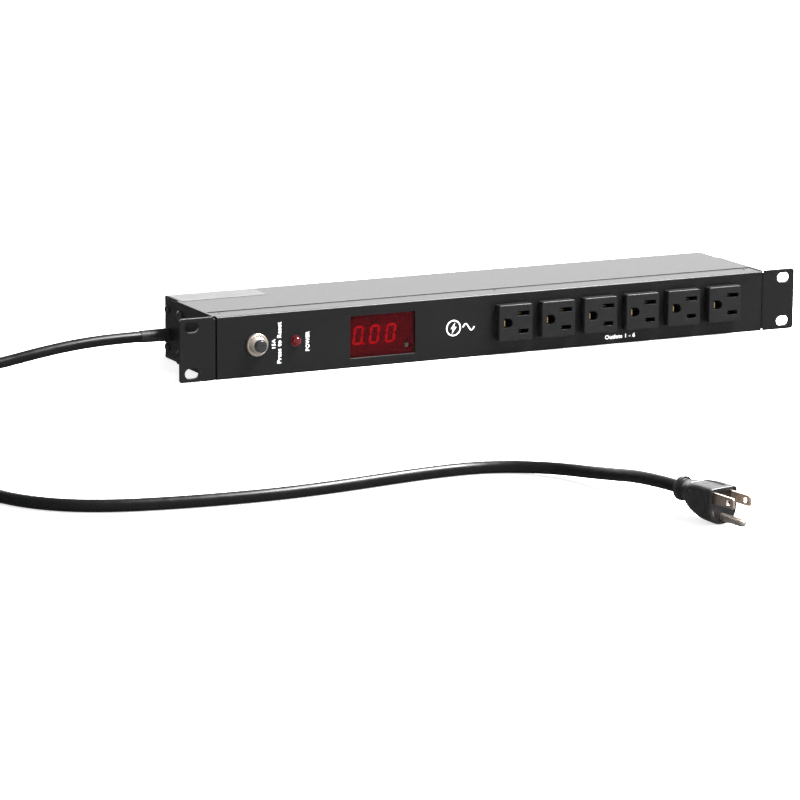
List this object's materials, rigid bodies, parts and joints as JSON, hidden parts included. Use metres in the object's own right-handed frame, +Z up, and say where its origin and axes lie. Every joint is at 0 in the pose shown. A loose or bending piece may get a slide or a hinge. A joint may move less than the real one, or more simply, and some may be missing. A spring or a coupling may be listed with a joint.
{
  "type": "rack power strip",
  "caption": "One rack unit power distribution strip with grounded outlets, push-to-reset breaker, pilot lamp, digital current meter and a power cord with a moulded plug.",
  "frame": {"origin": "middle of the case's footprint, on the surface it stands on; cord and plug not counted", "axes": "+X to the right seen from the front, along the panel; +Y to the rear; +Z up"},
  "size_m": [0.7342, 0.6096, 0.0439],
  "materials": {
    "black_powder_coat": "satin fine texture",
    "black_screw": "black zinc",
    "zinc_plate": "zinc",
    "outlet_nylon": "moulded satin",
    "brass": "plain",
    "inner_plastic": "matt",
    "nickel": "bright nickel",
    "button_plastic": "satin",
    "lamp_red": "clear tinted",
    "window_red": "clear tinted",
    "circuit_board": "satin",
    "display_plastic": "matt",
    "trimmer_blue": "satin",
    "core_black": "matt",
    "cord_vinyl": "satin vinyl",
    "wire_black": "satin",
    "wire_white": "satin",
    "wire_green": "satin",
    "label_silver": "satin film",
    "tie_fabric": "hook and loop"
  },
  "bodies": {
    "case": {"bracket_nuts": "zinc_plate", "bracket_screws": "black_screw", "breaker_body": "inner_plastic", "breaker_bushing": "nickel", "breaker_nut": "nickel", "breaker_terminals": "nickel", "bus_carrier": "inner_plastic", "chassis_tray": "black_powder_coat", "cord_coil": "cord_vinyl", "cord_jacket_end": "cord_vinyl", "cord_lead": "cord_vinyl", "cord_run": "cord_vinyl", "cord_strain_relief": "cord_vinyl", "cord_tie": "tie_fabric", "cover_screws": "black_screw", "end_plate_left": "black_powder_coat", "end_plate_right": "black_powder_coat", "ground_bus_bar": "brass", "ground_lugs": "zinc_plate", "ground_nut": "zinc_plate", "ground_stud": "zinc_plate", "lamp_clip": "zinc_plate", "lamp_holder": "inner_plastic", "lamp_lens": "lamp_red", "line_bus_bar": "brass", "meter_board": "circuit_board", "meter_current_transformer": "core_black", "meter_display": "display_plastic", "meter_shell": "inner_plastic", "meter_trimmer_base": "trimmer_blue", "meter_window": "window_red", "neutral_bus_bar": "brass", "outlet_1_contacts": "brass", "outlet_1_housing": "outlet_nylon", "outlet_2_contacts": "brass", "outlet_2_housing": "outlet_nylon", "outlet_3_contacts": "brass", "outlet_3_housing": "outlet_nylon", "outlet_4_contacts": "brass", "outlet_4_housing": "outlet_nylon", "outlet_5_contacts": "brass", "outlet_5_housing": "outlet_nylon", "outlet_6_contacts": "brass", "outlet_6_housing": "outlet_nylon", "plug_blades": "nickel", "plug_body": "cord_vinyl", "plug_ground_pin": "nickel", "rack_bracket_left": "black_powder_coat", "rack_bracket_right": "black_powder_coat", "rating_label": "label_silver", "rear_screws": "black_screw", "side_screws": "black_screw", "top_cover": "black_powder_coat", "wire_ground_in": "wire_green", "wire_ground_out": "wire_green", "wire_line_in": "wire_black", "wire_line_metered": "wire_black", "wire_neutral": "wire_white"},
    "reset_button": {"breaker_button": "button_plastic"},
    "trimmer": {"meter_trimmer_rotor": "nickel"}
  },
  "joints": [
    {"name": "reset_button_slide", "type": "slide", "parent": "case", "child": "reset_button", "axis": [0, -1, 0], "range_m": [0, 0.0035]},
    {"name": "trimmer_turn", "type": "hinge", "parent": "case", "child": "trimmer", "pos_m": [-0.0702, -0.03, 0.0124], "axis": [0, -1, 0], "range_deg": [-120, 120]}
  ]
}
